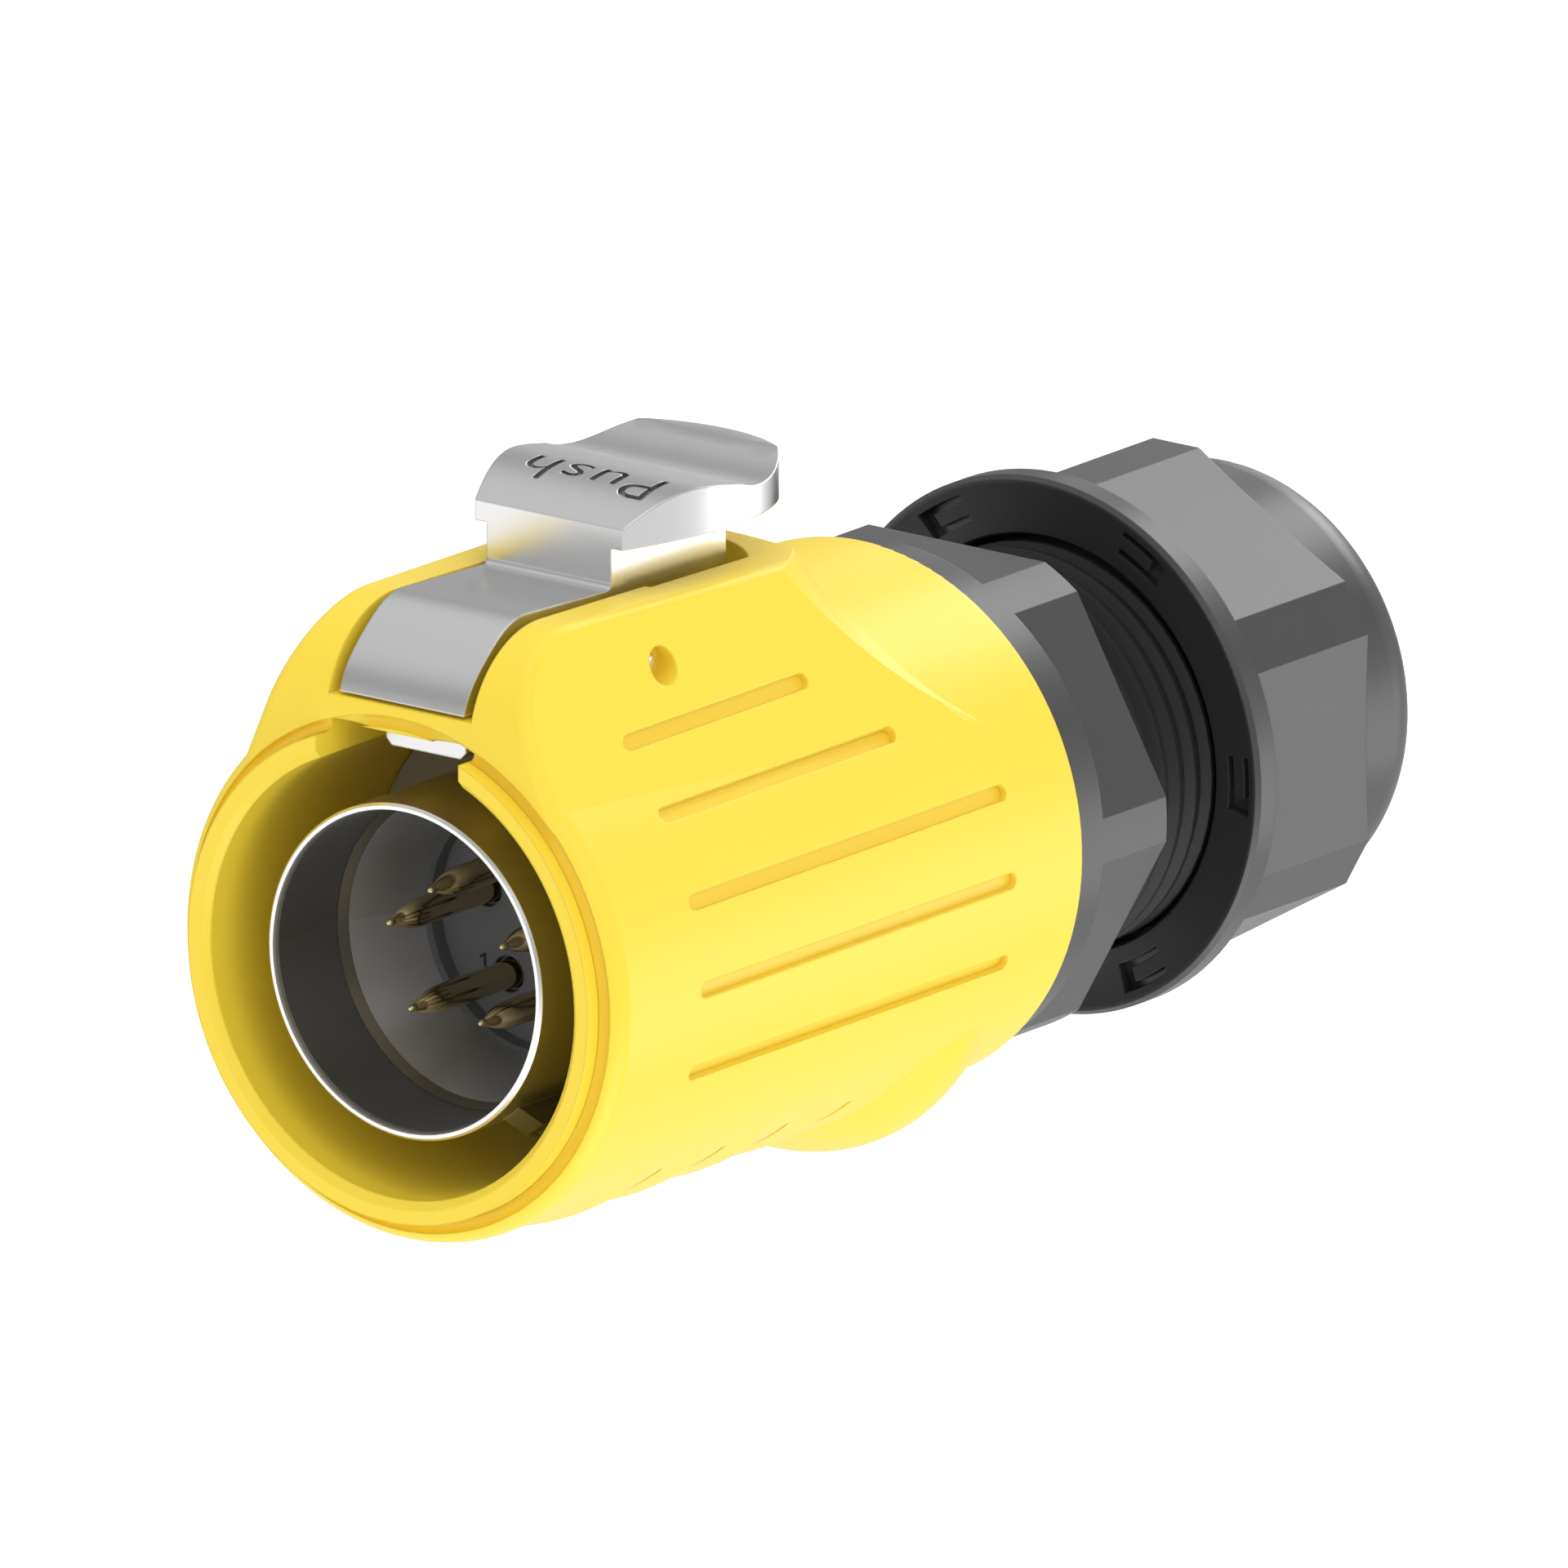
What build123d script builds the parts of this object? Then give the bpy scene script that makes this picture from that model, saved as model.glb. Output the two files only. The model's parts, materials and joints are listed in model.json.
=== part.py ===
from build123d import *
from math import atan2, cos, pi, radians, sin, sqrt, tan
import os

# Waterproof push-latch circular connector: a cable plug with five contacts.
# Millimetres. X is the connector's axis: the mating end looks along -X and the cable
# leaves along +X. The latch is on top, at +Z. The origin is on the axis, in the plane
# of the metal sleeve's front rim. Angles are measured from the near side (-Y) upwards.

# Fits and clearances
slip = 0.10             # radial gap between turned pieces that slide together
running = 0.04          # radial gap of the latch pin in its bore
seat = 0.02             # axial gap between pieces that are clamped together
free_gap = 0.30         # gap between pieces that turn or slide past each other
over = 1.0              # how far a cut runs on past what it cuts

# Metal mating sleeve
sleeve_r = 10.0
sleeve_wall = 0.50
sleeve_mouth_depth = 5.9
sleeve_mouth_bevel = 0.12
sleeve_mouth_bevel_w = 0.42
sleeve_step_h = 0.36    # how far the step behind the mouth stands in
sleeve_step_w = 0.57
sleeve_cone_end = 11.45
sleeve_lip_w = 0.55
sleeve_lip_h = 0.75     # how far the lip stands in over the insulator
sleeve_flange_h = 2.2
sleeve_flange_w = 1.6
sleeve_tail = 5.6       # threaded length behind the housing's web
sleeve_tail_wall = 1.6
sleeve_rim_round = 0.15
key_w = 1.5
key_h = 1.4
key_sink = 0.1          # how far the key's foot reaches into the sleeve's wall
key_angle = -52.0
key_front = 2.0
key_ramp = 1.2

# Outer housing: the space round the sleeve, then the walls outside it
annulus_gap = 3.28
barrel_wall = 2.82
ring_wall = 1.34
rear_wall = 2.9
barrel_front = -0.55
barrel_end = 43.0
nose_round = 1.3
rear_round = 0.35
ring_reach = 1.0        # how far the front ring stands out of the barrel
ring_bevel = 0.45
groove_r = 0.35
annulus_end = 17.0
web_w = 3.2
seat_bore_depth = 2.2

# Latch block on top of the housing
block_rise = 4.6        # its top above the barrel, at the nose
block_fall = 0.65       # how much lower the top is at the pocket's end
block_nose_r = 6.5
block_edge_round = 0.8
flank_angle = 23.5
flank_sink = 1.15       # how far inside the barrel's surface the flank's foot is, at x = 0
flank_draft = 0.0264    # how fast the flanks spread towards the heel
scoop_gap = 6.1         # barrel left plain behind the block
scoop_r = 9.84
heel_x = 22.6           # plan centre of the block's rounded rear end
heel_spread = 0.1523    # how much wider than the flanks the heel is at its top
heel_mid_flare = 4.55
heel_low_flare = 10.0
heel_top_lift = 5.3
heel_mid_drop = 1.2
heel_low_drop = 6.0

# Openings in the block
strap_gap = 0.66        # side gap of the latch in its slot
pocket_gap = 1.06       # side gap of the latch in the pocket
floor_wall = 1.72       # what is left under the pocket, over the bore
pocket_step_x = 15.94
pocket_side_end = 25.1
pocket_end = 27.7
pocket_corner_r = 0.6
bar_drop = 0.2          # top of the bar below the barrel's surface
bar_t = 1.5
bar_rear = 1.2
keyway_end = 7.2
hook_room = 2.0         # length left behind the hook
hook_side_room = 0.68

# Grip slots: the one on the block's flank, then angle and end margins of those on the barrel
flank_slot_up = 8.5
flank_slot_start = 7.2
flank_slot_end = 23.8
grip_slots = [(37.5, 8.2, 13.55), (18.5, 7.75, 6.3), (0.0, 7.75, 6.4), (-18.4, 7.65, 6.2)]
grip_slot_w = 0.95
grip_slot_depth = 0.42

# Scalloped grip and finger stop under the barrel
scallop_count = 5
scallop_pitch = 5.9
scallop_start = 5.1
scallop_height = 0.42
scallop_rise = 0.10     # height of the cusps above the barrel
grip_drop = 1.7
notch_w = 0.42
notch_half_angle = 40.0
notch_depth = 0.55
stop_w = 13.4
stop_crest_back = 6.7   # from the crest to the housing's rear rim
stop_height = 2.66
stop_drop = 5.0

# Latch lever
lever_half_w = 4.54
strap_t = 1.1
strap_nose_x = -0.15
strap_nose_gap = 0.2    # height of the nose above the bar
strap_rise = 4.9        # top of the strap above the barrel
strap_bend_end = 5.4
strap_curve = [(0.06, 0.18), (0.17, 0.37), (0.40, 0.63), (0.69, 0.88)]  # shares of the bend's run and rise
strap_under_lead = 0.5
strap_fall = 0.4
strap_fold_r = 0.4
pedestal_front = 13.65
pedestal_end = 24.4
pedestal_lift = 2.5     # underside of the pedestal above the barrel
pad_lift = 6.95         # underside of the pad above the barrel
pad_front_half_w = 5.40
pad_half_w = 7.15
pad_widest_x = 21.0
pad_corner_x = 28.9
pad_corner_half_w = 4.8
pad_end = 30.3
pad_front_h = 1.23
pad_hump_x = 18.0
pad_hump_h = 2.84
pad_crease_x = 22.6
pad_crease_h = 2.25
pad_dish_x = 24.8
pad_dish_h = 1.82
pad_crest_x = 28.6
pad_crest_h = 2.73
pad_end_h = 2.55
hook_x = 2.1
hook_t = 1.5
hook_reach = 0.58       # how far the hook's tip drops inside the housing's bore
hook_half_w = 2.92
hook_bevel = 0.42
hook_brace = 0.4
pivot_x = 12.5
pivot_lift = 1.0
lug_r = 1.8

# Latch pin and spring
pin_r = 0.60
pin_recess = 0.90
pin_stand = 0.35        # how far the pin's ends stand out of the recess's floor
pin_hole_r = 1.1
pin_end_round = 0.27
spring_x = 20.6
spring_r = 1.7
spring_wire_r = 0.22
spring_room = 0.15
spring_turns = 5
spring_seat_depth = 0.8

# Contacts and insulators
contact_count = 5
contact_edge = 3.85     # from the contacts' circle out to the insulator's rim
contact_r = 0.82
contact_tip_x = 3.77
contact_long_by = 1.44
contact_taper = 3.6
contact_ball_r = 0.24
contact_collar_r = 1.35
contact_collar_w = 1.5
cup_r = 1.15
cup_bore_r = 0.75
cup_depth = 3.4
cup_reach = 1.6
insulator_face = 13.0
insulator_ring_r = 1.1
insulator_ring_depth = 0.5
insulator_split = 18.0
rear_insulator_w = 4.0
retainer_w = 1.8
retainer_t = 1.3
retainer_split = 1.2

# Interface seal, sleeve nut and rear body
face_seal_w = 1.4
sleeve_nut_w = 3.0
sleeve_nut_notches = 4
sleeve_notch_w = 2.0
sleeve_notch_depth = 0.8
collar_drop = 0.8       # how far the collar lies inside the barrel's surface
collar_w = 2.85
hex_sink = 1.425        # how far the flats lie inside the collar
hex_w = 5.87
spigot_w = 12.0
body_wall = 3.6
body_step_h = 1.9
body_step_w = 2.0
body_step_reach = 2.5
tail_wall = 2.0
tail_w = 11.3
body_bevel = 0.4
body_ring_r = 0.43
tail_ring_r = 0.70

# Cable clamp
cage_base_w = 4.0
cage_t = 1.2
cage_lip_w = 1.2
cage_reach = 5.6        # how far the cage stands out of the rear body
cage_fingers = 8
cage_slit = 1.2
cage_bevel = 0.5
cage_bevel_w = 1.2
seal_bore_r = 4.9
seal_back = 1.2         # how far the seal's end lies inside the cage
seal_bevel = 0.6
seal_edge = 0.4
washer_w = 1.0
cage_gap = 0.5          # left between the cage and the washer when the nut is home

# Tail nut
nut_travel = 5.4        # how far the nut screws forward from where it is shown
closed_gap = 0.93       # left between the nut and the tail ring when the nut is home
thread_room = 0.8
nut_cone_w = 3.2
nut_cone_h = 1.5
flange_wall = 3.65
flange_w = 1.7
flange_dish = 0.55
flange_edge = 0.25
mouth_edge = 0.15
nut_flat_wall = 1.7
nut_corner_h = 1.2      # how far the corner facets stand out past the flats
nut_hex_w = 12.95       # from the flange's front to the end of the flats
nut_hex_dish = 0.5
dome_wall = 2.5
dome_end_wall = 3.2
dome_round = 3.4
cable_gap = 1.7         # radial gap round the cable in the nut's mouth
tongue_count = 6
tongue_edge = 0.85
tongue_w = 1.7
tongue_span = 13.5
tongue_gap = 0.42
tongue_tip = 4.0
tongue_depth = 1.2

# Radii from the sleeve outwards
sleeve_bore_r = sleeve_r - sleeve_wall
sleeve_step_r = sleeve_bore_r - sleeve_step_h
sleeve_flange_r = sleeve_r + sleeve_flange_h
insulator_r = sleeve_r - 2 * slip - sleeve_tail_wall
sleeve_throat_r = insulator_r - sleeve_lip_h
contact_circle_r = insulator_r - contact_edge
ring_bore_r = sleeve_r + annulus_gap
ring_r = ring_bore_r + ring_wall
barrel_r = ring_bore_r + barrel_wall
rear_bore_r = barrel_r - rear_wall
spigot_r = rear_bore_r - slip
seat_bore_r = spigot_r + 2 * body_ring_r + 2 * seat
collar_r = barrel_r - collar_drop
hex_r = collar_r - hex_sink
body_bore_r = spigot_r - body_wall
body_step_r = body_bore_r - body_step_h
tail_r = body_bore_r + tail_wall
cage_r = body_bore_r - slip
nut_bore_r = tail_r + thread_room
nut_cone_r = nut_bore_r - nut_cone_h
washer_r = nut_cone_r - free_gap
cable_bore_r = seal_bore_r + cable_gap
washer_bore_r = cable_bore_r + free_gap
flange_r = nut_bore_r + flange_wall
nut_flat_r = nut_bore_r + nut_flat_wall
nut_corner_r = nut_flat_r + nut_corner_h
dome_r = nut_cone_r + dome_wall
tongue_outer_r = flange_r - tongue_edge
tongue_inner_r = tongue_outer_r - tongue_w

# Places along X, from the front
ring_front = barrel_front - ring_reach
web_end = annulus_end + web_w
sleeve_flange_x = annulus_end - sleeve_flange_w - seat
sleeve_end = web_end + sleeve_tail
scoop_end = barrel_end - scoop_gap
stop_start = barrel_end - stop_w
stop_crest_x = barrel_end - stop_crest_back
hook_window_end = hook_x + hook_t + hook_room
collar_end = barrel_end + collar_w
hex_end = collar_end + hex_w
spigot_front = barrel_end - spigot_w
body_step_end = hex_end + body_step_reach
tail_end = hex_end + tail_w
cage_start = body_step_end + seat
cage_end = tail_end + cage_reach
seal_end = cage_end - seal_back
washer_x = cage_end + cage_gap + nut_travel
nut_cone_end = washer_x - free_gap
nut_cone_start = nut_cone_end - nut_cone_w
dome_inside = washer_x + washer_w + free_gap
dome_end = dome_inside + dome_end_wall
flange_front = hex_end + 2 * tail_ring_r + closed_gap + nut_travel
nut_hex_end = flange_front + nut_hex_w

# Heights of the block, its openings and the latch
block_top = barrel_r + block_rise
block_foot = barrel_r * sin(radians(flank_angle))
bar_top = barrel_r - bar_drop
bar_bottom = bar_top - bar_t
pocket_floor = ring_bore_r + floor_wall
pivot_z = barrel_r + pivot_lift
strap_top = barrel_r + strap_rise
strap_nose_z = bar_top + strap_nose_gap
strap_fold_z = strap_top - strap_fall
pedestal_bottom = barrel_r + pedestal_lift
pad_bottom = barrel_r + pad_lift
hook_tip_z = ring_bore_r - hook_reach
strap_slot_half_w = lever_half_w + strap_gap
pocket_half_w = lever_half_w + pocket_gap
hook_window_half_w = hook_half_w + hook_side_room
flank_d = barrel_r - flank_sink
flank_cos = cos(radians(flank_angle))
flank_sin = sin(radians(flank_angle))


def turned(points):
    """A solid of revolution about the X axis, from (x, radius) points."""
    return revolve(make_face(Polyline(*points, close=True)), Axis.X, 360)


def tube(start, end, outer, inner=0):
    return turned([(start, inner), (end, inner), (end, outer), (start, outer)])


def side_cut(outline, half_width):
    """A solid from a face drawn in X and Z, centred on the middle plane."""
    return extrude(Plane.XZ * outline, half_width, both=True)


def slab(x0, x1, half_width, z0, z1):
    """A straight box between two X places and two heights, centred on the middle plane."""
    return Pos((x0 + x1) / 2, 0, (z0 + z1) / 2) * Box(x1 - x0, 2 * half_width, z1 - z0)


def around(angle, shape):
    """Turns a shape modelled on the near side (-Y) upwards about the X axis."""
    return Rot(-angle, 0, 0) * shape


def flank_half_width(x, z):
    """Half width of the latch block between its flanks."""
    return (flank_d + flank_draft * x - z * flank_sin) / flank_cos


def flank_plane():
    """The block's near flank: its x runs back along the connector and its y up the flank."""
    return Plane(origin=(0, -flank_d * flank_cos, flank_d * flank_sin),
                 x_dir=(1, -flank_draft * flank_cos, flank_draft * flank_sin),
                 z_dir=(-flank_draft, -flank_cos, flank_sin))


def on_flank(point):
    return abs(abs(point.Y) - flank_half_width(point.X, point.Z)) < seat


def cross_hole(radius, half_length):
    """A round bar across the connector, on the latch's pivot."""
    return Pos(pivot_x, 0, pivot_z) * Rot(90, 0, 0) * Cylinder(radius, 2 * half_length)


# Outer housing

def barrel():
    nose = barrel_front + nose_round
    rear = barrel_end - rear_round
    body = revolve(make_face([
        Line((barrel_front, 0), (barrel_front, barrel_r - nose_round)),
        RadiusArc((barrel_front, barrel_r - nose_round), (nose, barrel_r), nose_round),
        Line((nose, barrel_r), (rear, barrel_r)),
        RadiusArc((rear, barrel_r), (barrel_end, barrel_r - rear_round), rear_round),
        Line((barrel_end, barrel_r - rear_round), (barrel_end, 0)),
        Line((barrel_end, 0), (barrel_front, 0))]), Axis.X, 360)
    return body + tube(ring_front, nose, ring_r)


def block_scoop():
    """What is cut away behind the block: the outside of a concave turned surface."""
    low = scoop_r - block_rise
    angle = pi / 2 - atan2(low, sqrt(scoop_r ** 2 - low ** 2))
    run = scoop_r * sin(angle)
    top = 2 * barrel_r
    start = (scoop_end, barrel_r)
    end = (scoop_end - run, block_top)
    far = (end[0] - (top - end[1]) / tan(angle), top)
    back = barrel_end + over
    return revolve(make_face([
        RadiusArc(start, end, scoop_r), Line(end, far), Line(far, (back, top)),
        Line((back, top), (back, barrel_r)), Line((back, barrel_r), start)]), Axis.X, 360)


def block_heel():
    """The bell that rounds the block's rear end in plan, standing on a vertical axis."""
    top = (flank_half_width(heel_x, barrel_r + heel_top_lift) + heel_spread, barrel_r + heel_top_lift)
    middle = (top[0] + heel_mid_flare, barrel_r - heel_mid_drop)
    low = (top[0] + heel_low_flare, barrel_r - heel_low_drop)
    outline = make_face([
        ThreePointArc(low, middle, top), Line(top, (0, top[1])), Line((0, top[1]), (0, 0)),
        Line((0, 0), (2 * barrel_r, 0)), Line((2 * barrel_r, 0), low)])
    bell = revolve(Plane.XZ * outline, Axis.Z, 360)
    front = slab(barrel_front - over - heel_x, 0, barrel_r, 0, top[1])
    return Pos(heel_x, 0, 0) * (bell + front)


def latch_block():
    """The raised block that guards the latch: drafted flanks, a round nose and a round heel."""
    nose = barrel_front + block_nose_r
    rear_top = block_top - block_fall * (scoop_end - nose) / (pocket_end - nose)
    outline = make_face([
        Line((barrel_front, block_foot), (barrel_front, block_top - block_nose_r)),
        RadiusArc((barrel_front, block_top - block_nose_r), (nose, block_top), block_nose_r),
        Line((nose, block_top), (scoop_end, rear_top)), Line((scoop_end, rear_top), (scoop_end, block_foot)),
        Line((scoop_end, block_foot), (barrel_front, block_foot))])
    inside = flank_plane().location * Pos(0, 0, -barrel_r) * Box(2 * barrel_end, 4 * barrel_r, 2 * barrel_r)
    block = side_cut(outline, barrel_r) & inside & mirror(inside, Plane.XZ)
    block = (block - block_scoop()) & block_heel()
    front = [e for e in block.edges().filter_by(lambda e: on_flank(e @ 0.5))
             if (e @ 0.5).Z > block_foot + seat and (e @ 0.5).X < heel_x]
    return fillet(front, block_edge_round)


def scalloped_grip():
    """Rounded ribs turned about an axis below the barrel's, so each shows as a lens."""
    foot = barrel_r + scallop_rise - grip_drop
    arcs = []
    for i in range(scallop_count):
        x = scallop_start + i * scallop_pitch
        crest = (x + scallop_pitch / 2, foot + scallop_height)
        arcs.append(ThreePointArc((x, foot), crest, (x + scallop_pitch, foot)))
    end = scallop_start + scallop_count * scallop_pitch
    outline = make_face([*arcs, Line((end, foot), (end, 0)), Line((end, 0), (scallop_start, 0)),
                         Line((scallop_start, 0), (scallop_start, foot))])
    return Pos(0, 0, -grip_drop) * revolve(outline, Axis.X, 360)


def finger_stop():
    """The swelling behind the scallops that the fingers pull against."""
    foot = barrel_r - stop_drop
    crest = Spline((stop_start, foot), (stop_crest_x, foot + stop_height), (barrel_end, foot),
                   tangents=[(1, 0.45), (1, -0.5)])
    base = Polyline((barrel_end, foot), (barrel_end, 0), (stop_start, 0), (stop_start, foot))
    outline = make_face([crest, base])
    return Pos(0, 0, -stop_drop) * revolve(outline, Axis.X, 360)


def slot_bar(start, end):
    """What cuts one grip slot, with its mouth in the XY plane and its length along X."""
    bar = extrude(SlotOverall(end - start, grip_slot_w), grip_slot_depth + over)
    return Pos((start + end) / 2, 0, -grip_slot_depth) * bar


def flank_slots():
    """The grip slots, the same on both sides: one square to the block's flank, the rest on the barrel."""
    cuts = [flank_plane().location * Pos(0, flank_slot_up, 0) * slot_bar(flank_slot_start, flank_slot_end)]
    for angle, front_margin, rear_margin in grip_slots:
        bar = Rot(90, 0, 0) * slot_bar(barrel_front + front_margin, barrel_end - rear_margin)
        cuts.append(around(angle, Pos(0, -barrel_r, 0) * bar))
    return cuts + [mirror(cut, Plane.XZ) for cut in cuts]


def scallop_notches():
    """Narrow cuts at the valleys between the ribs, ending square on each side."""
    cuts = []
    outer = barrel_r + over
    inner = barrel_r + scallop_rise - notch_depth
    reach = 2 * barrel_r
    low = inner * cos(radians(notch_half_angle))
    keep = slab(scallop_start, stop_crest_x, inner * sin(radians(notch_half_angle)), -low - reach, -low)
    for i in range(1, scallop_count):
        x = scallop_start + i * scallop_pitch
        cuts.append(tube(x - notch_w / 2, x + notch_w / 2, outer, inner) & keep)
    return cuts


def pocket_plan():
    """The wide pocket seen from above, with a bowed end and rounded rear corners."""
    side = (pocket_side_end, pocket_half_w)
    plan = make_face([
        Line((pocket_step_x, -side[1]), (side[0], -side[1])),
        ThreePointArc((side[0], -side[1]), (pocket_end, 0), side),
        Line(side, (pocket_step_x, side[1])),
        Line((pocket_step_x, side[1]), (pocket_step_x, -side[1]))])
    return fillet([v for v in plan.vertices() if v.X > pocket_step_x + over], pocket_corner_r)


def latch_openings():
    """The strap's slot, the deep pocket behind it, the hook's window and the keyway."""
    high = block_top + over
    front = ring_front - over
    inside = sqrt(ring_bore_r ** 2 - strap_slot_half_w ** 2) - over
    slot_end = pocket_step_x + seat
    spring_seat = Pos(spring_x, 0, pocket_floor - spring_seat_depth) * spring_hole()
    return [
        Pos(0, 0, pocket_floor) * extrude(pocket_plan(), high - pocket_floor), spring_seat,
        slab(barrel_front - over, slot_end, strap_slot_half_w, bar_top, high),
        slab(bar_rear, slot_end, strap_slot_half_w, pocket_floor, high),
        slab(bar_rear, hook_window_end, hook_window_half_w, bar_bottom - over, high),
        slab(front, keyway_end, strap_slot_half_w, inside, bar_bottom),
        slab(front, barrel_front, strap_slot_half_w, inside, high)]


def pivot_holes():
    """The latch pin's cross hole, wider near each flank."""
    edge = flank_half_width(pivot_x, pivot_z)
    out = edge + over
    floor = edge - pin_recess - pin_stand
    return [cross_hole(pin_r + seat, out), cross_hole(pin_hole_r, out) - cross_hole(2 * pin_hole_r, floor)]


def outer_housing():
    body = barrel() + latch_block() + scalloped_grip() + finger_stop()
    groove = revolve(Pos(barrel_front + groove_r / 2, ring_r + groove_r) * Circle(groove_r), Axis.X, 360)
    mouth = turned([
        (ring_front - over, 0), (ring_front - over, ring_bore_r + ring_bevel),
        (ring_front, ring_bore_r + ring_bevel), (ring_front + ring_bevel, ring_bore_r),
        (annulus_end, ring_bore_r), (annulus_end, 0)])
    bores = [
        tube(annulus_end - over, web_end + over, sleeve_r + slip),
        tube(web_end, barrel_end + over, rear_bore_r),
        tube(barrel_end - seat_bore_depth, barrel_end + over, seat_bore_r)]
    grips = flank_slots() + scallop_notches()
    return body - [groove, mouth, *bores, *grips, *latch_openings(), *pivot_holes()]


# Latch

def bend(start, end):
    """The strap's curved nose, from one point up to another."""
    run = end[0] - start[0]
    rise = end[1] - start[1]
    return Spline(start, *[(start[0] + run * along, start[1] + rise * up) for along, up in strap_curve], end)


def lever_strap():
    """The flat metal strap: over the bar, along the slot and up to the push pad."""
    nose = (strap_nose_x, strap_nose_z)
    nose_under = (strap_nose_x + strap_t, strap_nose_z)
    top = (strap_bend_end, strap_top)
    under = (strap_bend_end + strap_under_lead, strap_top - strap_t)
    fold = (pedestal_front, strap_fold_z)
    up = (pedestal_front, strap_fold_z + over)
    back = (pedestal_front + over, strap_fold_z + over)
    low_back = (pedestal_front + over, strap_top - strap_t)
    outline = make_face([bend(nose, top), Polyline(top, fold, up, back, low_back, under),
                         bend(nose_under, under), Line(nose_under, nose)])
    corner = outline.vertices().sort_by_distance(fold)[0]
    return side_cut(fillet(corner, strap_fold_r), lever_half_w)


def lever_lug():
    """The solid boss under the strap that turns on the pin."""
    web = slab(pivot_x - lug_r, pedestal_front + over, lever_half_w, pivot_z, strap_fold_z - strap_t / 2)
    return web + cross_hole(lug_r, lever_half_w)


def pad_side(side):
    """One long edge of the pad's plan, from its front corner to its rear one."""
    return Spline((pedestal_front, side * pad_front_half_w), (pad_widest_x, side * pad_half_w),
                  (pad_corner_x, side * pad_corner_half_w), tangents=[(1, side * 0.36), (1, side * -1.1)])


def push_pad():
    """The thumb pad: humped in front, dished behind, with a sharp crest near its end."""
    front = (pedestal_front, pad_front_half_w)
    corner = (pad_corner_x, pad_corner_half_w)
    plan = make_face([
        Line((front[0], -front[1]), front), pad_side(1), pad_side(-1),
        ThreePointArc(corner, (pad_end, 0), (corner[0], -corner[1]))])
    column = extrude(plan, 2 * pad_hump_h)
    start = (pedestal_front, pad_front_h)
    crease = (pad_crease_x, pad_crease_h)
    crest = (pad_crest_x, pad_crest_h)
    end = (pad_end + over, pad_end_h)
    profile = make_face([
        Spline(start, (pad_hump_x, pad_hump_h), crease, tangents=[(1, 0.66), (1, -0.2)]),
        Spline(crease, (pad_dish_x, pad_dish_h), crest, tangents=[(1, -0.4), (1, 0.36)]),
        Polyline(crest, end, (end[0], 0), (start[0], 0), start)])
    pad = column & side_cut(profile, 2 * pad_half_w)
    return Pos(0, 0, pad_bottom) * pad


def lever_hook():
    """The leg that drops behind the bar and catches in the mating half."""
    root = strap_top - 2 * strap_t
    leg = slab(hook_x, hook_x + hook_t, hook_half_w, hook_tip_z, root)
    corners = leg.edges().filter_by(Axis.X).group_by(Axis.Z)[0]
    brace = slab(hook_x, hook_x + hook_t + hook_brace, hook_half_w, bar_top + free_gap, root)
    return chamfer(corners, hook_bevel) + brace


def spring_hole():
    """The shallow round seat that holds one end of the latch spring."""
    return extrude(Circle(spring_r + spring_wire_r + spring_room), spring_seat_depth)


def release_latch():
    pedestal = slab(pedestal_front, pedestal_end, lever_half_w, pedestal_bottom, pad_bottom)
    body = lever_strap() + lever_lug() + pedestal + push_pad() + lever_hook()
    bore = cross_hole(pin_r + running, 2 * lever_half_w)
    return body - [bore, Pos(spring_x, 0, pedestal_bottom) * spring_hole()]


def latch_pin():
    pin = cross_hole(pin_r, flank_half_width(pivot_x, pivot_z) - pin_recess)
    return fillet(pin.edges().filter_by(GeomType.CIRCLE), pin_end_round)


def latch_spring():
    """A compression spring between the pocket's floor and the lever."""
    low = pocket_floor - spring_seat_depth + seat + spring_wire_r
    high = pedestal_bottom + spring_seat_depth - seat - spring_wire_r
    path = Helix((high - low) / spring_turns, high - low, spring_r, center=(spring_x, 0, low))
    section = Plane(origin=path @ 0, z_dir=path % 0) * Circle(spring_wire_r)
    return sweep(section, path=path, is_frenet=True)


# Mating sleeve and contacts

def mating_sleeve():
    step = sleeve_mouth_depth + sleeve_step_w
    bore = insulator_r + slip
    lip = sleeve_cone_end + sleeve_lip_w
    front = annulus_end - seat
    rim = sleeve_rim_round
    body = turned([
        (0, sleeve_bore_r + sleeve_mouth_bevel), (sleeve_mouth_bevel_w, sleeve_bore_r),
        (sleeve_mouth_depth, sleeve_bore_r), (step, sleeve_step_r), (sleeve_cone_end, sleeve_throat_r),
        (lip, sleeve_throat_r), (lip, bore), (sleeve_end, bore), (sleeve_end, sleeve_r - slip),
        (web_end, sleeve_r - slip), (web_end, sleeve_r), (front, sleeve_r), (front, sleeve_flange_r),
        (sleeve_flange_x, sleeve_flange_r), (sleeve_flange_x, sleeve_r), (rim, sleeve_r),
        (0, sleeve_r - rim)])
    return body + around(key_angle, sleeve_key())


def sleeve_key():
    """The rib that keys the plug, with a ramped front end."""
    root = sleeve_r - key_sink
    top = sleeve_r + key_h
    end = sleeve_flange_x - face_seal_w - 2 * seat
    side = Polyline((key_front, -root), (end, -root), (end, -top), (key_front + key_ramp, -top), close=True)
    return extrude(make_face(side), key_w / 2, both=True)


def contact_place(index):
    """Contact 1 is the long one at the top; the others follow round the circle."""
    angle = radians(90 - index * 360 / contact_count)
    return -contact_circle_r * cos(angle), contact_circle_r * sin(angle)


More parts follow.
